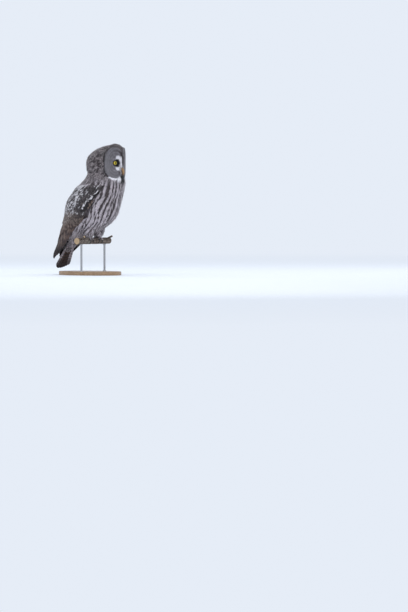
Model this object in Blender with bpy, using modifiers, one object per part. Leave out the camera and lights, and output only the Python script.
"""A perched great grey owl at life size, gripping a short cut branch on a plain display stand.

The owl faces +X and stands over the origin, which is on the underside of the base, straight below
the branch. +Z is up and +Y is the owl's left. Sizes are in millimetres and become metres when a
mesh is made. Heights of the bird are measured from the top of the branch, where its toes rest.
"""

import math
import random
from collections import namedtuple

import bmesh
import bpy
from mathutils import Matrix, Vector

MM = 0.001
GAP = 0.35
SIDES = {-1: "right", 1: "left"}
# Half the size of a cutter that takes away everything beyond a plane
ROOM = 450.0
# How far along or across a surface its slope is measured, as a share
SLOPE_STEP = 0.01

# The display stand
BASE_THICK = 18.0
BASE_HALF_LENGTH = 168.0
BASE_HALF_WIDTH = 112.0
BASE_SHIFT_X = -18.0
BASE_ROUNDING = 3.5
ROD_RADIUS = 5.0
ROD_OFFSET_Y = 92.0
ROD_SOCKET_DEPTH = 9.0
BRANCH_RADIUS = 16.0
BRANCH_HALF_LENGTH = 128.0
BRANCH_STEPS = 8
BRANCH_BARK_PLAY = 0.45
# Two stubs where twigs were trimmed: place along the branch, lean sideways and length
STUBS = ((88.0, 14.0, 30.0), (-104.0, -12.0, 26.0))
STUB_ARC = 60.0
STUB_ROOT_DEPTH = 8.0
STUB_RADII = (6.0, 4.6, 4.0)
TAIL_TIP_BELOW_BRANCH = 150.0
TAIL_CLEARANCE = 12.0
BRANCH_TOP_Z = BASE_THICK + TAIL_CLEARANCE + TAIL_TIP_BELOW_BRANCH
BRANCH_AXIS_Z = BRANCH_TOP_Z - BRANCH_RADIUS

# The torso's level sections: height, middle x, reach forward, reach back, half width
TORSO_TOP = 262.0
TORSO_SECTIONS = (
    (-54.0, -128.0, 10.0, 5.0, 14.0),
    (-32.0, -116.0, 20.0, 14.0, 27.0),
    (-12.0, -107.0, 37.0, 36.0, 41.0),
    (5.0, -92.0, 54.0, 62.0, 56.0),
    (22.0, -68.0, 74.0, 82.0, 72.0),
    (45.0, -46.0, 96.0, 95.0, 87.0),
    (70.0, -31.0, 122.0, 107.0, 98.0),
    (103.0, -13.0, 138.0, 116.0, 104.0),
    (142.0, -2.0, 143.0, 120.0, 107.0),
    (180.0, 11.0, 141.0, 120.0, 107.0),
    (214.0, 29.0, 134.0, 115.0, 104.0),
    (247.0, 49.0, 122.0, 113.0, 101.0),
    (281.0, 72.0, 102.0, 97.0, 94.0),
    (300.0, 76.0, 78.0, 92.0, 88.0),
    (324.0, 78.0, 50.0, 84.0, 80.0),
)
TORSO_RINGS = 16
BODY_SEGMENTS = 28
NECK_TOP = 324.0
NECK_RINGS = 3

# The surface that the folded wings follow: height, middle x, reach back, half width, reach forward
WING_SECTIONS = (
    (-140.0, -214.0, 22.0, 20.0, 14.0),
    (-112.0, -197.0, 35.0, 32.0, 26.0),
    (-95.0, -183.0, 49.0, 42.0, 38.0),
    (-75.0, -164.0, 64.0, 51.0, 52.0),
    (-50.0, -140.0, 75.0, 60.0, 60.0),
    (-20.0, -114.0, 85.0, 73.0, 76.0),
    (7.0, -90.0, 93.0, 86.0, 86.0),
    (36.0, -64.0, 108.0, 99.0, 96.0),
    (70.0, -33.0, 121.0, 110.0, 118.0),
    (103.0, -13.0, 128.0, 117.0, 134.0),
    (142.0, -2.0, 132.0, 121.0, 139.0),
    (180.0, 11.0, 131.0, 120.0, 138.0),
    (214.0, 29.0, 124.0, 115.0, 131.0),
    (247.0, 49.0, 116.0, 108.0, 121.0),
    (275.0, 68.0, 104.0, 97.0, 106.0),
)
# The wing's two long edges on that surface: share of length, height, angle from straight ahead
WING_BACK_EDGE = (
    (0.0, 256.0, 158.0),
    (0.3, 160.0, 170.0),
    (0.6, 55.0, 173.0),
    (0.85, -45.0, 172.0),
    (1.0, -104.0, 160.0),
    (1.1, -136.0, 150.0),
)
WING_FRONT_EDGE = (
    (0.0, 250.0, 46.0),
    (0.2, 190.0, 58.0),
    (0.35, 142.0, 67.0),
    (0.6, 50.0, 76.0),
    (0.85, -45.0, 84.0),
    (1.0, -104.0, 98.0),
    (1.1, -136.0, 115.0),
)
# The pad that the feathers are rooted in: share of the wing's length, lift of its top, depth
WING_CORE = ((0.0, -1.0, 9.0), (0.07, -3.6, 9.5), (0.2, -5.6, 8.0), (0.53, -6.4, 6.5))
WING_CORE_START = 0.01
WING_CORE_END = 0.53
# The pad thins toward its edges to this share of its depth, more slowly along it than across it
WING_CORE_EDGE = 0.3
WING_CORE_END_SLOPE = 4.0
WING_CORE_SIDE_SLOPE = 5.0

# Tiers of feathers: each runs along lanes that are shared out between two edges of the wing.
# Lengths are shares of the wing's, given at its back and its front edge. A lane is a share of the way
# across, given for the first and last feather where the lanes start and where they end.
# Lifts off the wing's surface go with the share of its length.
Tier = namedtuple("Tier", "count root tip lanes lane_start lane_end lift spacing")
SHOULDER = Tier(8, (0.03, 0.04), (0.22, 0.20), (0.0, 0.25), (0.05, 0.93), (0.05, 0.95),
                ((0.0, -9.0), (0.035, -8.0), (0.08, -1.6), (0.22, 1.6), (0.3, 1.9)), 0.1)
COVERTS = Tier(9, (0.12, 0.12), (0.43, 0.36), (0.1, 0.45), (0.05, 0.95), (0.05, 0.95),
               ((0.1, -9.5), (0.13, -8.6), (0.2, -3.0), (0.4, 0.6), (0.5, 0.8)), 0.1)
SECONDARIES = Tier(9, (0.33, 0.31), (0.8, 0.6), (0.3, 0.85), (0.06, 0.86), (0.08, 0.84),
                   ((0.28, -9.5), (0.33, -8.8), (0.41, -3.5), (0.6, -1.6), (0.8, -0.8), (0.9, -0.8)), 0.12)
ALULA = Tier(2, (0.27, 0.28), (0.5, 0.47), (0.25, 0.55), (0.96, 1.04), (0.95, 1.03),
             ((0.25, -9.0), (0.29, -8.5), (0.37, -3.5), (0.5, -1.0), (0.6, -1.0)), 0.1)
PRIMARIES = Tier(7, (0.45, 0.45), (0.84, 0.86), (0.42, 1.0), (0.4, 0.98), (0.1, 0.84),
                 ((0.4, -11.0), (0.46, -10.4), (0.55, -7.2), (0.8, -5.0), (1.0, -0.5), (1.1, -0.5)), 0.12)
# How far past the tier's own tips each primary goes, from the inner to the outer one
PRIMARY_REACH = (0.06, 0.1, 0.125, 0.14, 0.14, 0.13, 0.09)
VANE_THICK = 0.85
VANE_STEP = 1.75
VANE_OVERLAP = 0.86
VANE_LEAST_HALF = 7.0
# How much the feathers of a tier differ at random: tips in shares of the wing's length, and widths
VANE_TIP_PLAY = 0.008
VANE_WIDTHS = (0.96, 1.0)
VANE_SEED = 11
# The most places along a vane, and the least room its first and last ones leave, in spacings
VANE_STOPS = 20
VANE_ROOT_ROOM = 0.4
VANE_TIP_ROOM = 0.35
SHAFT_RISE = 0.35
# A vane's width from root to tip: share of its length, share of its width
FLIGHT_SHAPE = ((0.0, 0.6), (0.22, 0.85), (0.5, 1.0), (0.8, 1.0), (0.94, 0.72), (1.0, 0.25))
RECTRIX_SHAPE = ((0.0, 0.7), (0.35, 0.95), (0.75, 1.0), (0.93, 0.78), (1.0, 0.35))
COVERT_SHAPE = ((0.0, 0.6), (0.35, 1.0), (0.75, 1.0), (0.92, 0.72), (1.0, 0.25))

# The head, about its own centre: +X is where the face looks
HEAD_CENTRE = (77.0, 358.0)
HEAD_TURN_DEG = 4.0
CRANIUM_BACK = 112.0
CRANIUM_FRONT = 50.0
CRANIUM_MIDDLE_X = 12.0
CRANIUM_HALF_WIDTH = 93.0
CRANIUM_UP = 88.0
CRANIUM_DOWN = 84.0
CROWN_LEAN = 0.35
NAPE_FULLNESS = 2.7
FACE_RIDGE_X = 98.0
FACE_RIM_X = 53.0
FACE_HALF_WIDTH = 94.0
EYE_SIDEWAYS = 34.0
EYE_UP = -2.0
EYE_RADIUS = 11.5
EYE_DEPTH = 19.0
# How far the disc reaches from the eye, every 45 degrees, from outward over the top and round
DISC_REACH = (64.0, 80.0, 76.0, 58.0, 38.5, 53.0, 76.0, 77.0)
DISC_SEGMENTS = 20
# The disc from lid to ruff: share of its reach, height over its plane
DISC_PROFILE = ((0.3, -12.3), (0.5, -9.8), (0.7, -4.8), (0.87, 1.2), (0.95, 3.0), (1.0, 0.5))
# The lids: radius, height over the plane
LID_PROFILE = ((15.0, -12.2), (12.2, -9.6), (10.6, -9.2), (9.5, -10.0))
LID_OPENING = 9.0
POCKET_RADIUS = 12.1
POCKET_SEGMENTS = 16
# Behind the ruff the disc runs back to the cranium: share of the way, swell past the straight line
DISC_SKIRT = ((0.45, 4.0), (1.0, 0.0))
SKIRT_LENGTH = 40.0
SKIRT_SINK = 0.97
CRANIUM_SEGMENTS = 24
CRANIUM_RINGS = 13
DISC_HEART_Y = 12.0

# The raised line of short feathers between the eyes: x and height, half width, half depth
FACE_RIDGE = (
    (26.0, 76.0, 44.0, 10.0),
    (58.0, 74.5, 38.0, 10.0),
    (79.0, 63.0, 25.0, 10.0),
    (91.0, 32.0, 11.5, 8.5),
    (94.0, 2.0, 9.0, 8.0),
    (92.0, -20.0, 9.0, 8.0),
    (82.0, -36.0, 9.0, 8.0),
)
# The dark bib and the white bow below the bill, as one soft swelling
BIB_CENTRE = (60.0, 0.0, -68.0)
BIB_RADII = (41.0, 30.0, 19.0)

# The bill: x and height about the head's centre, half width, half depth
UPPER_BILL = ((80.0, -26.0, 8.0, 7.5), (91.0, -30.0, 7.6, 7.0), (98.5, -39.0, 6.4, 5.8),
              (100.0, -51.0, 4.4, 4.2), (96.0, -62.0, 1.6, 1.6))
LOWER_BILL = ((77.0, -44.0, 5.6, 3.6), (87.0, -49.0, 5.0, 3.4), (93.0, -56.0, 2.2, 2.0))
NOSTRIL_PLACE = (94.5, 7.2, -33.0)
NOSTRIL_RADII = (2.2, 1.6, 1.7)

# Legs and feet, about the point of the branch's top under each foot
FOOT_OFFSET_Y = 37.0
# Height, middle x, half length, half width, middle's distance from the owl's midline
LEG_SECTIONS = (
    (6.5, 1.0, 17.0, 15.0, 37.0),
    (16.0, 3.0, 24.0, 20.0, 37.5),
    (30.0, 6.0, 32.0, 26.0, 38.0),
    (48.0, 0.0, 35.0, 29.0, 38.5),
    (75.0, -10.0, 36.0, 30.0, 39.0),
)
TOE_RADIUS = 6.3
PALM_RADII = (14.0, 12.5, 8.5)
# Where each toe goes: arc over the branch at its root and end, sideways start and end
TOES = (
    ("inner", 12.0, 78.0, -5.0, -13.0),
    ("middle", 12.0, 86.0, 5.0, 9.0),
    ("outer", -14.0, -76.0, 6.0, 19.0),
    ("hind", -12.0, -64.0, -4.0, -8.0),
)
CLAW_ARC = 52.0
CLAW_RADIUS = 3.3
CLAW_TIP_RADIUS = 0.35
CLAW_ROOT_ARC = 4.0
# How the claw's middle line comes down to the branch: at once, and then faster to this height over it
CLAW_DROP = 1.5
CLAW_END_HEIGHT = 2.6
CLAW_HOOK = 0.8
CLAW_SPREAD = 0.2
CLAW_STEPS = 6
TOE_STEPS = 5
# Each toe is thinner than its room by this much, tapers to its tip, and swells at its joints
TOE_PLAY = 0.3
TOE_TAPER = 0.8
TOE_KNUCKLE = 0.275
PALM_HEIGHT = 0.75

# The tail
TAIL_ROOT = (-130.0, -16.0)
TAIL_TIP_X = -206.0
TAIL_PAIRS = 6
TAIL_GAP = 0.9
MIDLINE_GAP = 0.3
# Sideways place of each pair's middle at the root and tip, and half widths there
TAIL_ROOT_PLACES = (2.6, 5.0)
TAIL_TIP_PLACES = (3.6, 8.2)
RECTRIX_HALF_WIDTHS = (8.0, 12.0)
TAIL_TOP_LIFT = 4.6
TAIL_ARCH = 0.0016
# The rump that the tail feathers are rooted in: share of the tail's length, half width, half thickness
RUMP = ((-0.12, 30.0, 11.0), (0.05, 33.0, 12.0), (0.2, 33.0, 11.0), (0.33, 30.0, 8.0), (0.4, 26.0, 4.5))
RECTRIX_ROOT = 0.24
RUMP_LIFT = 1.0
# How much shorter each pair is than the one nearer the middle, how that grows, and the left side's lead
RECTRIX_STEP = 0.012
RECTRIX_ROUNDING = 0.004
RECTRIX_LEAD = 0.006

PLUMAGE_GREY = (0.17, 0.165, 0.16)
PLUMAGE_DARK = (0.06, 0.055, 0.05)
BILL_YELLOW = (0.55, 0.36, 0.1)
EYE_YELLOW = (0.75, 0.62, 0.12)
CLAW_BLACK = (0.02, 0.02, 0.02)
BARK_BROWN = (0.16, 0.11, 0.08)
BASE_WOOD = (0.3, 0.19, 0.11)
ROD_STEEL = (0.35, 0.35, 0.36)


def material(name, colour, roughness, metallic=0.0):
    made = bpy.data.materials.new(name)
    made.use_nodes = True
    shader = made.node_tree.nodes["Principled BSDF"]
    shader.inputs["Base Color"].default_value = (*colour, 1.0)
    shader.inputs["Roughness"].default_value = roughness
    shader.inputs["Metallic"].default_value = metallic
    return made


def curve_through(table, x):
    """Each column of the table at x, on a smooth curve through its rows, which rise in column 0."""
    rows = [tuple(map(float, row)) for row in table]
    last = len(rows) - 2
    i = 0
    while i < last and x > rows[i + 1][0]:
        i += 1
    a, b = rows[i], rows[i + 1]
    before, after = rows[max(i - 1, 0)], rows[min(i + 2, last + 1)]
    span = b[0] - a[0]
    t = min(max((x - a[0]) / span, 0.0), 1.0)
    values = []
    for k in range(1, len(a)):
        slope_a = (b[k] - before[k]) / (b[0] - before[0]) * span
        slope_b = (after[k] - a[k]) / (after[0] - a[0]) * span
        t2, t3 = t * t, t * t * t
        values.append(
            (2 * t3 - 3 * t2 + 1) * a[k]
            + (t3 - 2 * t2 + t) * slope_a
            + (3 * t2 - 2 * t3) * b[k]
            + (t3 - t2) * slope_b
        )
    return values


def between(pair, share):
    return pair[0] + (pair[1] - pair[0]) * share


def collect(name):
    made = bpy.data.collections.new(name)
    bpy.context.scene.collection.children.link(made)
    return made


def object_from(bm, name, collection):
    """The bmesh, drawn in millimetres, as an object in metres with its faces pointing out."""
    bmesh.ops.recalc_face_normals(bm, faces=bm.faces)
    bmesh.ops.scale(bm, vec=(MM, MM, MM), verts=bm.verts)
    mesh = bpy.data.meshes.new(name)
    bm.to_mesh(mesh)
    bm.free()
    obj = bpy.data.objects.new(name, mesh)
    collection.objects.link(obj)
    return obj


def turns(count):
    """Angles once round a circle."""
    return [2 * math.pi * k / count for k in range(count)]


def add_ring(bm, points):
    return [bm.verts.new(p) for p in points]


def bridge(bm, lower, upper):
    count = len(lower)
    for k in range(count):
        n = (k + 1) % count
        bm.faces.new((lower[k], lower[n], upper[n], upper[k]))


def fan(bm, ring, apex):
    tip = bm.verts.new(apex)
    count = len(ring)
    for k in range(count):
        bm.faces.new((ring[k], ring[(k + 1) % count], tip))


def loft(name, collection, rings, start_apex=None, end_apex=None):
    """A closed skin through rings of points, ended flat or drawn to a point."""
    bm = bmesh.new()
    made = [add_ring(bm, ring) for ring in rings]
    for lower, upper in zip(made, made[1:]):
        bridge(bm, lower, upper)
    for ring, apex in ((made[0], start_apex), (made[-1], end_apex)):
        if apex is None:
            bm.faces.new(ring)
        else:
            fan(bm, ring, apex)
    return object_from(bm, name, collection)


def slab(name, collection, over, under):
    """A closed thin body between two like grids of points, split into triangles alike on both sides."""
    bm = bmesh.new()
    top = [add_ring(bm, row) for row in over]
    low = [add_ring(bm, row) for row in under]
    for i in range(len(top) - 1):
        for j in range(len(top[0]) - 1):
            for grid in (top, low):
                a, b, c, d = grid[i][j], grid[i][j + 1], grid[i + 1][j + 1], grid[i + 1][j]
                bm.faces.new((a, b, c))
                bm.faces.new((a, c, d))
    for side in (0, -1):
        for i in range(len(top) - 1):
            bm.faces.new((top[i][side], top[i + 1][side], low[i + 1][side], low[i][side]))
        for j in range(len(top[0]) - 1):
            bm.faces.new((top[side][j], top[side][j + 1], low[side][j + 1], low[side][j]))
    return object_from(bm, name, collection)


def box(name, collection, low, high):
    """A box between two corners in millimetres."""
    bm = bmesh.new()
    bmesh.ops.create_cube(bm, size=1.0)
    middle = (Vector(low) + Vector(high)) / 2
    size = Vector(high) - Vector(low)
    bmesh.ops.scale(bm, vec=size, verts=bm.verts)
    bmesh.ops.translate(bm, vec=middle, verts=bm.verts)
    return object_from(bm, name, collection)


def ball(name, collection, centre, radii, segments, rings):
    bm = bmesh.new()
    bmesh.ops.create_uvsphere(bm, u_segments=segments, v_segments=rings, radius=1.0)
    bmesh.ops.scale(bm, vec=radii, verts=bm.verts)
    bmesh.ops.translate(bm, vec=centre, verts=bm.verts)
    return object_from(bm, name, collection)


def tapered_tube(name, collection, points, radii, roundness=2):
    """A bevelled poly curve with a radius at each point, as a closed mesh."""
    curve = bpy.data.curves.new(name, "CURVE")
    curve.dimensions = "3D"
    curve.bevel_depth = MM
    curve.bevel_resolution = roundness
    curve.use_fill_caps = True
    spline = curve.splines.new("POLY")
    spline.points.add(len(points) - 1)
    for point, place, radius in zip(spline.points, points, radii):
        point.co = (*(Vector(place) * MM), 1.0)
        point.radius = radius
    guide = bpy.data.objects.new(name + "_guide", curve)
    collection.objects.link(guide)
    graph = bpy.context.evaluated_depsgraph_get()
    mesh = bpy.data.meshes.new_from_object(guide.evaluated_get(graph))
    bpy.data.objects.remove(guide)
    bm = bmesh.new()
    bm.from_mesh(mesh)
    bmesh.ops.remove_doubles(bm, verts=bm.verts, dist=0.00001)
    bmesh.ops.recalc_face_normals(bm, faces=bm.faces)
    bm.to_mesh(mesh)
    bm.free()
    obj = bpy.data.objects.new(name, mesh)
    collection.objects.link(obj)
    return obj


def grown(obj, collection, gap=GAP):
    """A cutter: a copy of the object, let out by the gap all round."""
    mesh = obj.data.copy()
    bm = bmesh.new()
    bm.from_mesh(mesh)
    moves = [v.normal * (gap * MM * v.calc_shell_factor()) for v in bm.verts]
    for v, move in zip(bm.verts, moves):
        v.co += move
    bm.to_mesh(mesh)
    bm.free()
    made = bpy.data.objects.new(obj.name + "_room", mesh)
    collection.objects.link(made)
    made.hide_render = True
    made.display_type = "WIRE"
    return made


def apply_modifiers(obj):
    graph = bpy.context.evaluated_depsgraph_get()
    mesh = bpy.data.meshes.new_from_object(obj.evaluated_get(graph))
    obj.modifiers.clear()
    obj.data = mesh


def keep_largest(obj):
    """Leaves the largest closed surface of the mesh, by the size of its box."""
    bm = bmesh.new()
    bm.from_mesh(obj.data)
    unseen = set(bm.verts)
    shells = []
    while unseen:
        start = unseen.pop()
        shell, edge = {start}, [start]
        while edge:
            for link in edge.pop().link_edges:
                for v in link.verts:
                    if v in unseen:
                        unseen.discard(v)
                        shell.add(v)
                        edge.append(v)
        shells.append(shell)

    def spread(shell):
        return sum(max(v.co[k] for v in shell) - min(v.co[k] for v in shell) for k in range(3))

    largest = max(shells, key=spread)
    bmesh.ops.delete(bm, geom=[v for v in bm.verts if v not in largest], context="VERTS")
    bm.to_mesh(obj.data)
    bm.free()
    return obj


def cut(obj, cutters, solver="MANIFOLD"):
    """Takes the cutters out of the object, and keeps its largest piece."""
    for cutter in cutters:
        cutter.hide_render = True
        cutter.display_type = "WIRE"
        modifier = obj.modifiers.new("cut_" + cutter.name, "BOOLEAN")
        modifier.operation = "DIFFERENCE"
        modifier.solver = solver
        modifier.object = cutter
    apply_modifiers(obj)
    return keep_largest(obj)


def join(obj, pieces, solver="MANIFOLD"):
    """One Boolean union of the object with the pieces, which are then removed."""
    group = collect(obj.name + "_pieces")
    for piece in pieces:
        for home in piece.users_collection:
            home.objects.unlink(piece)
        group.objects.link(piece)
    modifier = obj.modifiers.new("join", "BOOLEAN")
    modifier.operation = "UNION"
    modifier.solver = solver
    modifier.operand_type = "COLLECTION"
    modifier.collection = group
    apply_modifiers(obj)
    for piece in list(group.objects):
        bpy.data.objects.remove(piece)
    bpy.data.collections.remove(group)
    return keep_largest(obj)


def other_half(side):
    """A cutter: all the room beyond the owl's midline, with a small gap, for a part on one side."""
    name = "midline_" + SIDES[side]
    if side < 0:
        return box(name, CUTTERS, (-ROOM, -MIDLINE_GAP, 0), (ROOM, ROOM, 2 * ROOM))
    return box(name, CUTTERS, (-ROOM, -ROOM, 0), (ROOM, MIDLINE_GAP, 2 * ROOM))


def finish(obj, look, smooth_deg=40.0):
    obj.data.materials.clear()
    obj.data.materials.append(look)
    obj.data.shade_smooth()
    obj.data.set_sharp_from_angle(angle=math.radians(smooth_deg))
    return obj


# The torso and neck

def body_point(height, angle):
    """A point of the torso's skin: angle 0 is straight ahead and 90 degrees is to the left."""
    middle, front, back, width = curve_through(TORSO_SECTIONS, height)
    reach = front if math.cos(angle) > 0 else back
    return Vector((middle + reach * math.cos(angle), width * math.sin(angle), BRANCH_TOP_Z + height))


def body_ring(height):
    return [body_point(height, angle) for angle in turns(BODY_SEGMENTS)]


def build_torso(parts):
    low = TORSO_SECTIONS[0][0]
    rings = []
    for k in range(TORSO_RINGS + 1):
        share = k / TORSO_RINGS
        rings.append(body_ring(low + (TORSO_TOP - low) * (share * 0.85 + 0.15 * share * share)))
    vent = Vector((TORSO_SECTIONS[0][1] - 6.0, 0.0, BRANCH_TOP_Z + low - 9.0))
    return loft("torso", parts, rings, start_apex=vent)


def build_neck(parts, room):
    start = TORSO_TOP + GAP
    rings = [body_ring(start + (NECK_TOP - start) * k / NECK_RINGS) for k in range(NECK_RINGS + 1)]
    neck = loft("neck", parts, rings)
    return cut(neck, room)


# The head

def head_matrix():
    centre = Vector((HEAD_CENTRE[0], 0.0, BRANCH_TOP_Z + HEAD_CENTRE[1]))
    return Matrix.Translation(centre) @ Matrix.Rotation(math.radians(HEAD_TURN_DEG), 4, "Z")


def to_head(x, y, z):
    return head_matrix() @ Vector((x, y, z))


def disc_frame(side):
    """The disc's middle at the eye, and its outward, upward and forward directions, in the head's frame."""
    slope = FACE_RIDGE_X - FACE_RIM_X
    outward = Vector((-slope, side * FACE_HALF_WIDTH, 0.0)).normalized()
    forward = Vector((FACE_HALF_WIDTH, side * slope, 0.0)).normalized()
    x = FACE_RIDGE_X - slope * EYE_SIDEWAYS / FACE_HALF_WIDTH
    return Vector((x, side * EYE_SIDEWAYS, EYE_UP)), outward, Vector((0, 0, 1)), forward


def disc_reach(angle):
    """How far the disc reaches from the eye at an angle, 0 being outward and 90 degrees up."""
    place = (math.degrees(angle) % 360.0) / 45.0
    i = int(place)
    t = place - i
    p = [DISC_REACH[(i + k) % 8] for k in (-1, 0, 1, 2)]
    return p[1] + 0.5 * t * (
        p[2] - p[0] + t * (2 * p[0] - 5 * p[1] + 4 * p[2] - p[3] + t * (3 * (p[1] - p[2]) + p[3] - p[0]))
    )


def disc_point(side, angle, radius, height):
    centre, outward, up, forward = disc_frame(side)
    round_place = outward * (radius * math.cos(angle)) + up * (radius * math.sin(angle))
    place = centre + round_place + forward * height
    return head_matrix() @ place


def cranium_foot(point):
    """The place just under the cranium's skin that a point of the ruff runs back to."""
    x, y, z = head_matrix().inverted() @ point
    x -= SKIRT_LENGTH + CRANIUM_MIDDLE_X
    tall = CRANIUM_UP if z > 0 else CRANIUM_DOWN
    across = CRANIUM_FRONT if x > 0 else CRANIUM_BACK
    reach = Vector((x / across, y / CRANIUM_HALF_WIDTH, z / tall)).length / SKIRT_SINK
    return to_head(CRANIUM_MIDDLE_X + x / reach, y / reach, z / reach)


def build_disc(parts, side):
    """One half of the face: the dished disc with its ruff and the raised lids."""
    angles = turns(DISC_SEGMENTS)
    profile = reversed(LID_PROFILE)
    rings = [[disc_point(side, a, radius, height) for a in angles] for radius, height in profile]
    for share, height in DISC_PROFILE:
        rings.append([disc_point(side, a, share * disc_reach(a), height) for a in angles])
    centre = to_head(CRANIUM_MIDDLE_X, 0.0, 0.0)
    rim = rings[-1]
    feet = [cranium_foot(point) for point in rim]
    for share, swell in DISC_SKIRT:
        rings.append([
            start.lerp(end, share) + (start - centre).normalized() * swell for start, end in zip(rim, feet)
        ])
    return loft(
        "disc", parts, rings,
        start_apex=disc_point(side, 0.0, 0.0, LID_PROFILE[-1][1]),
        end_apex=to_head(CRANIUM_MIDDLE_X, side * DISC_HEART_Y, 0.0),
    )


def build_pocket(side, steps=6):
    """The room of one eye: a straight mouth as wide as the open lids, and a ball behind it."""
    angles = turns(POCKET_SEGMENTS)
    rim = math.asin(LID_OPENING / POCKET_RADIUS)
    profile = [(LID_OPENING, EYE_DEPTH)]
    for k in range(steps):
        turn = rim + (math.pi - rim) * k / steps
        profile.append((POCKET_RADIUS * math.sin(turn), POCKET_RADIUS * math.cos(turn) - EYE_DEPTH))
    rings = [[disc_point(side, a, radius, height) for a in angles] for radius, height in profile]
    return loft("pocket", CUTTERS, rings, end_apex=disc_point(side, 0.0, 0.0, -EYE_DEPTH - POCKET_RADIUS))


def build_cranium(parts):
    bm = bmesh.new()
    bmesh.ops.create_uvsphere(bm, u_segments=CRANIUM_SEGMENTS, v_segments=CRANIUM_RINGS, radius=1.0)
    for v in bm.verts:
        x, y, z = v.co
        across = CRANIUM_FRONT if x > 0 else CRANIUM_BACK
        tall = CRANIUM_UP if z > 0 else CRANIUM_DOWN
        lean = CROWN_LEAN * tall * max(z, 0.0) ** 2
        full = 1.0
        if -0.99 < z < 0.0:
            full = (1.0 - abs(z) ** NAPE_FULLNESS) ** (1.0 / NAPE_FULLNESS) / math.sqrt(1.0 - z * z)
        v.co = to_head(CRANIUM_MIDDLE_X + across * x * full + lean, CRANIUM_HALF_WIDTH * y * full, tall * z)
    return object_from(bm, "head", parts)


def head_tube(name, parts, stations, segments=12):
    """A loft along stations in the head's middle plane: x, height, half width, half depth."""
    rings = []
    for i, (x, z, width, depth) in enumerate(stations):
        before = stations[max(i - 1, 0)]
        after = stations[min(i + 1, len(stations) - 1)]
        along = Vector((after[0] - before[0], 0.0, after[1] - before[1])).normalized()
        out = Vector((-along.z, 0.0, along.x))
        ring = []
        for angle in turns(segments):
            place = Vector((x, 0.0, z)) + out * (depth * math.cos(angle))
            ring.append(to_head(place.x, width * math.sin(angle), place.z))
        rings.append(ring)
    return loft(name, parts, rings)


def build_bill(parts):
    upper = head_tube("bill_upper", parts, UPPER_BILL)
    lower = head_tube("bill_lower", parts, LOWER_BILL, 10)
    cut(lower, [grown(upper, CUTTERS)])
    pits = []
    for side in (-1, 1):
        forward, sideways, up = NOSTRIL_PLACE
        pits.append(ball("nostril", CUTTERS, to_head(forward, side * sideways, up), NOSTRIL_RADII, 10, 6))
    cut(upper, pits)
    return upper, lower


def build_head(parts, bill):
    """The head, and the room that it takes with its bill."""
    head = build_cranium(parts)
    pieces = [build_disc(parts, side) for side in (-1, 1)]
    pieces.append(head_tube("ridge", parts, FACE_RIDGE, 8))
    pieces.append(ball("bib", parts, to_head(*BIB_CENTRE), BIB_RADII, 10, 8))
    room = [grown(piece, CUTTERS) for piece in (head, *pieces)]
    bill_room = [grown(piece, CUTTERS) for piece in bill]
    join(head, pieces)
    cut(head, bill_room + [build_pocket(side) for side in (-1, 1)])
    return head, room + bill_room


def build_eye(parts, side, name):
    centre = disc_point(side, 0.0, 0.0, -EYE_DEPTH)
    return ball(name, parts, centre, (EYE_RADIUS,) * 3, 16, 9)


# The wings

def wing_surface(side, height, angle_deg, lift):
    """A point over the surface that the wing follows, lifted off it along its normal."""
    def place(h, a):
        middle, back, width, front = curve_through(WING_SECTIONS, h)
        reach = front if math.cos(a) > 0 else back
        return Vector((middle + reach * math.cos(a), side * width * math.sin(a), BRANCH_TOP_Z + h))

    angle = math.radians(angle_deg)
    here = place(height, angle)
    step_up = place(height + 1.0, angle) - here
    step_round = place(height, angle + SLOPE_STEP) - here
    normal = step_round.cross(step_up).normalized() * side
    return here + normal * lift


def wing_point(side, along, across, lift):
    """A point on the folded wing: along it from shoulder to tip, across it from spine to breast."""
    back_height, back_angle = curve_through(WING_BACK_EDGE, along)
    front_height, front_angle = curve_through(WING_FRONT_EDGE, along)
    height = back_height + (front_height - back_height) * across
    angle = back_angle + (front_angle - back_angle) * across
    return wing_surface(side, height, angle, lift)


def build_wing_core(parts, side, name, rings=7, columns=9):
    """The wing's closed pad over the body, thin at its edges, that its feathers are rooted in."""
    over, under = [], []
    for i in range(rings + 1):
        way = i / rings
        along = between((WING_CORE_START, WING_CORE_END), way)
        top, depth = curve_through(WING_CORE, along)
        closing = min(1.0, WING_CORE_END_SLOPE * min(way, 1.0 - way) + WING_CORE_EDGE)
        over.append([])
        under.append([])
        for j in range(columns + 1):
            across = j / columns
            edge = min(1.0, WING_CORE_SIDE_SLOPE * min(across, 1.0 - across) + WING_CORE_EDGE)
            half = depth / 2 * closing * edge
            over[-1].append(wing_point(side, along, across, top - depth / 2 + half))
            under[-1].append(wing_point(side, along, across, top - depth / 2 - half))
    return slab(name, parts, over, under)


def lane(tier, share, along):
    """Where across the wing a feather's shaft lies, at a share of the wing's length."""
    start, end = tier.lanes
    way = (along - start) / (end - start)
    return between((between(tier.lane_start, share), between(tier.lane_end, share)), way)


def vane_stations(root, tip, spacing, shape):
    """Places along a vane, with its share of full width there; neighbours share all but the end ones."""
    stops = [root]
    first = math.floor(root / spacing) + 1
    last = root + (tip - root) * shape[-2][0]
    for k in range(first, first + VANE_STOPS):
        if stops[-1] + VANE_ROOT_ROOM * spacing < k * spacing < last - VANE_TIP_ROOM * spacing:
            stops.append(k * spacing)
    stops += [last, tip]
    return [(stop, curve_through(shape, (stop - root) / (tip - root))[0]) for stop in stops]


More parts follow.
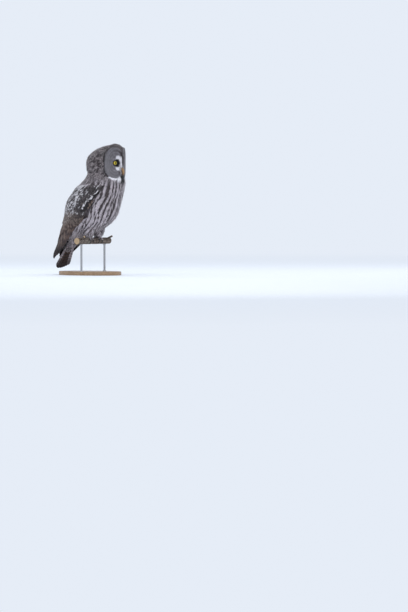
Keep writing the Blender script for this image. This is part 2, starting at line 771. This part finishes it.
def wing_vane(parts, side, tier, share, root, tip, shape, width):
    """One feather of a tier, tilted so that it lies over its neighbour nearer the wing's front edge."""
    over, under = [], []
    for along, narrowing in vane_stations(root, tip, tier.spacing, shape):
        across = lane(tier, share, along)
        here = wing_point(side, along, across, 0.0)
        step_along = (wing_point(side, along + SLOPE_STEP, across, 0.0) - here) / SLOPE_STEP
        step_across = (wing_point(side, along, across + SLOPE_STEP, 0.0) - here) / SLOPE_STEP
        drift = (lane(tier, share, along + SLOPE_STEP) - across) / SLOPE_STEP
        shaft = (step_along + step_across * drift).normalized()
        normal = step_along.cross(step_across).normalized()
        sideways = normal.cross(shaft)
        if sideways.dot(step_across) < 0:
            sideways.negate()
        aa, ab, bb = step_along.dot(step_along), step_along.dot(step_across), step_across.dot(step_across)
        ra, rb = step_along.dot(sideways), step_across.dot(sideways)
        spread = aa * bb - ab * ab
        per_mm = ((ra * bb - rb * ab) / spread, (rb * aa - ra * ab) / spread)
        neighbour = 1.0 / max(tier.count - 1, 1)
        gap = abs(lane(tier, share + neighbour, along) - across) / abs(per_mm[1])
        half = max(VANE_OVERLAP * gap, VANE_LEAST_HALF) * narrowing * width
        over.append([])
        under.append([])
        for offset in (-1.0, 0.0, 1.0):
            ridge = SHAFT_RISE if offset == 0.0 else 0.0
            reach = half * offset
            place = (along + per_mm[0] * reach, across + per_mm[1] * reach)
            lift = curve_through(tier.lift, place[0])[0] + VANE_STEP / gap * reach + ridge
            over[-1].append(wing_point(side, *place, lift + VANE_THICK / 2))
            under[-1].append(wing_point(side, *place, lift - VANE_THICK / 2))
    return slab("vane", parts, over, under)


def build_wing(parts, side, name, room):
    """The wing's pad with its tiers of feathers, cut back from what it lies against."""
    vary = random.Random(VANE_SEED)
    vanes = []
    for tier in (SHOULDER, COVERTS, SECONDARIES, ALULA, PRIMARIES):
        for k in range(tier.count):
            share = k / (tier.count - 1)
            tip = between(tier.tip, share) + vary.uniform(-VANE_TIP_PLAY, VANE_TIP_PLAY)
            if tier is PRIMARIES:
                tip += PRIMARY_REACH[k]
            shape = FLIGHT_SHAPE if tier in (SECONDARIES, PRIMARIES) else COVERT_SHAPE
            width = vary.uniform(*VANE_WIDTHS)
            vanes.append(wing_vane(parts, side, tier, share, between(tier.root, share), tip, shape, width))
    wing = join(build_wing_core(parts, side, name), vanes)
    return cut(wing, room)


# The tail

def tail_frame():
    """The tail's root, its direction down to the tip, its length and its direction out of the back."""
    root = Vector((TAIL_ROOT[0], 0.0, BRANCH_TOP_Z + TAIL_ROOT[1]))
    tip = Vector((TAIL_TIP_X, 0.0, BRANCH_TOP_Z - TAIL_TIP_BELOW_BRANCH))
    along = (tip - root).normalized()
    return root, along, (tip - root).length, Vector((along.z, 0.0, -along.x))


def tail_point(share, y, lift):
    root, along, length, out = tail_frame()
    return root + along * (length * share) + out * (lift - TAIL_ARCH * y * y) + Vector((0, y, 0))


def build_rectrix(parts, side, pair, tip):
    """A tail feather; each pair lies below the pair nearer the middle, and one of the first on the other."""
    lift = TAIL_TOP_LIFT - VANE_STEP * (pair + 1)
    if pair == 0 and side > 0:
        lift = TAIL_TOP_LIFT
    over, under = [], []
    for way, narrowing in RECTRIX_SHAPE:
        share = RECTRIX_ROOT + (tip - RECTRIX_ROOT) * way
        root_middle = TAIL_ROOT_PLACES[0] + TAIL_ROOT_PLACES[1] * pair
        tip_middle = TAIL_TIP_PLACES[0] + TAIL_TIP_PLACES[1] * pair
        middle = between((root_middle, tip_middle), way)
        half = between(RECTRIX_HALF_WIDTHS, way) * narrowing
        if pair > 0:
            half = min(half, middle - MIDLINE_GAP)
        row = [middle - half, middle + half]
        over.append([tail_point(share, side * y, lift + VANE_THICK / 2) for y in row])
        under.append([tail_point(share, side * y, lift - VANE_THICK / 2) for y in row])
    return slab("rectrix", parts, over, under)


def build_tail(parts, room):
    rings = []
    for share, width, thick in RUMP:
        rings.append([
            tail_point(share, width * math.sin(a), thick * math.cos(a) + RUMP_LIFT)
            for a in turns(20)
        ])
    tail = loft("tail", parts, rings)
    feathers = []
    for pair in range(TAIL_PAIRS):
        for side in (-1, 1):
            tip = 1.0 - RECTRIX_STEP * pair - RECTRIX_ROUNDING * pair * pair
            if side > 0:
                tip += RECTRIX_LEAD
            feathers.append(build_rectrix(parts, side, pair, tip))
    join(tail, feathers)
    return cut(tail, room)


# The legs and feet

def build_leg(parts, side, name, room):
    rings = []
    for height, x, length, width, y in LEG_SECTIONS:
        rings.append([
            Vector((x + length * math.cos(a), side * y + width * math.sin(a), BRANCH_TOP_Z + height))
            for a in turns(20)
        ])
    return cut(loft(name, parts, rings), room)


def over_branch(arc_deg, radius, y):
    """A point beside the branch: arc 0 is its top and positive arcs go down its front."""
    arc = math.radians(arc_deg)
    return Vector((radius * math.sin(arc), y, BRANCH_AXIS_Z + radius * math.cos(arc)))


def build_foot(parts, side, label, room):
    """The palm with its four feathered toes over the branch, and a claw beyond each toe."""
    centre = Vector((0.0, side * FOOT_OFFSET_Y, BRANCH_TOP_Z + PALM_RADII[2] * PALM_HEIGHT))
    foot = ball("foot_" + label, parts, centre, PALM_RADII, 12, 6)
    toes, claws = [], []
    clear = BRANCH_RADIUS + TOE_RADIUS + GAP
    curl = (clear - BRANCH_RADIUS - CLAW_END_HEIGHT) * CLAW_HOOK
    for toe, start, end, y_start, y_end in TOES:
        y_from = side * (FOOT_OFFSET_Y + y_start)
        y_to = side * (FOOT_OFFSET_Y + y_end)
        points, radii = [], []
        for k in range(TOE_STEPS + 1):
            share = k / TOE_STEPS
            knuckle = TOE_KNUCKLE * math.cos(share * math.pi * 4.0)
            points.append(over_branch(between((start, end), share), clear, between((y_from, y_to), share)))
            radii.append(TOE_RADIUS - TOE_PLAY + knuckle - TOE_TAPER * share)
        toes.append(tapered_tube("toe", parts, points, radii, 1))
        sign = 1.0 if end > 0 else -1.0
        drift = side * (y_end - y_start) * CLAW_SPREAD
        points, radii = [], []
        for k in range(CLAW_STEPS + 1):
            share = k / CLAW_STEPS
            reach = clear - CLAW_DROP * share - curl * share * share
            arc = end + sign * (CLAW_ARC * share - CLAW_ROOT_ARC)
            points.append(over_branch(arc, reach, y_to + drift * share))
            radii.append(CLAW_RADIUS * (1.0 - share) ** 0.7 + CLAW_TIP_RADIUS)
        claws.append(tapered_tube(f"claw_{label}_{toe}", parts, points, radii, 1))
    join(foot, toes)
    cut(foot, [room] + [grown(claw, CUTTERS) for claw in claws])
    return foot, claws


# The stand

def build_branch(parts):
    """A short cut length of branch along Y, with two stubs where twigs were trimmed."""
    rings = []
    for i in range(BRANCH_STEPS + 1):
        y = -BRANCH_HALF_LENGTH + 2 * BRANCH_HALF_LENGTH * i / BRANCH_STEPS
        swell = 0.25 * math.sin(0.09 * y) + 0.2 * math.sin(0.21 * y + 1.0)
        radius = BRANCH_RADIUS - BRANCH_BARK_PLAY + swell
        rings.append([
            Vector((radius * math.sin(a), y, BRANCH_AXIS_Z + radius * math.cos(a))) for a in turns(16)
        ])
    branch = loft("stand_branch", parts, rings)
    stubs = []
    for y, lean, length in STUBS:
        start = over_branch(STUB_ARC, BRANCH_RADIUS - STUB_ROOT_DEPTH, y)
        end = over_branch(STUB_ARC, BRANCH_RADIUS + length, y + lean)
        stubs.append(tapered_tube("stub", parts, [start, (start + end) / 2, end], STUB_RADII, 1))
    return join(branch, stubs)


def build_rod(parts, side, name):
    low = Vector((0.0, side * ROD_OFFSET_Y, BASE_THICK - ROD_SOCKET_DEPTH))
    high = Vector((0.0, side * ROD_OFFSET_Y, BRANCH_AXIS_Z - BRANCH_RADIUS + ROD_SOCKET_DEPTH))
    bm = bmesh.new()
    bmesh.ops.create_cone(bm, cap_ends=True, segments=16, radius1=ROD_RADIUS, radius2=ROD_RADIUS,
                          depth=(high - low).length)
    bmesh.ops.translate(bm, vec=(low + high) / 2, verts=bm.verts)
    return object_from(bm, name, parts)


def build_base(parts):
    bm = bmesh.new()
    bmesh.ops.create_cone(bm, cap_ends=True, segments=30, radius1=1.0, radius2=1.0, depth=1.0)
    bmesh.ops.scale(bm, vec=(BASE_HALF_LENGTH, BASE_HALF_WIDTH, BASE_THICK), verts=bm.verts)
    bmesh.ops.translate(bm, vec=(BASE_SHIFT_X, 0.0, BASE_THICK / 2), verts=bm.verts)
    base = object_from(bm, "stand_base", parts)
    bevel = base.modifiers.new("edge", "BEVEL")
    bevel.width = BASE_ROUNDING * MM
    bevel.segments = 2
    bevel.limit_method = "ANGLE"
    bevel.angle_limit = math.radians(40.0)
    apply_modifiers(base)
    return base


# Everything, from the ground up

for leftover in list(bpy.data.objects):
    bpy.data.objects.remove(leftover)

PARTS = collect("great_grey_owl")
CUTTERS = collect("cutters")

plumage = material("grey_plumage", PLUMAGE_GREY, 0.9)
flight = material("dark_flight_feathers", PLUMAGE_DARK, 0.7)
horn = material("yellow_bill", BILL_YELLOW, 0.45)
iris = material("yellow_eye", EYE_YELLOW, 0.1)
claw_horn = material("black_claw", CLAW_BLACK, 0.35)
bark = material("bark", BARK_BROWN, 0.9)
wood = material("base_wood", BASE_WOOD, 0.5)
steel = material("rod_steel", ROD_STEEL, 0.35, 1.0)

base = build_base(PARTS)
branch = build_branch(PARTS)
rods = [build_rod(PARTS, side, "stand_rod_" + label) for side, label in SIDES.items()]
rod_rooms = [grown(rod, CUTTERS) for rod in rods]
cut(base, rod_rooms)
cut(branch, rod_rooms)

torso = build_torso(PARTS)
torso_room = grown(torso, CUTTERS)
bill = build_bill(PARTS)
head, head_room = build_head(PARTS, bill)
neck = build_neck(PARTS, head_room)
neck_room = grown(neck, CUTTERS)
tail = build_tail(PARTS, [grown(torso, CUTTERS, TAIL_GAP)])

for side, label in SIDES.items():
    eye = build_eye(PARTS, side, "eye_" + label)
    finish(eye, iris)
    wing = build_wing(PARTS, side, "wing_" + label, [torso_room, neck_room, other_half(side)])
    finish(wing, flight)
    leg = build_leg(PARTS, side, "leg_" + label, [torso_room])
    finish(leg, plumage)
    foot, claws = build_foot(PARTS, side, label, grown(leg, CUTTERS))
    cut(foot, [grown(branch, CUTTERS)])
    finish(foot, plumage)
    for claw in claws:
        finish(claw, claw_horn)

for node in (torso, neck, head):
    finish(node, plumage)
finish(tail, flight)
for node in bill:
    finish(node, horn)
finish(branch, bark)
finish(base, wood)
for rod in rods:
    finish(rod, steel)
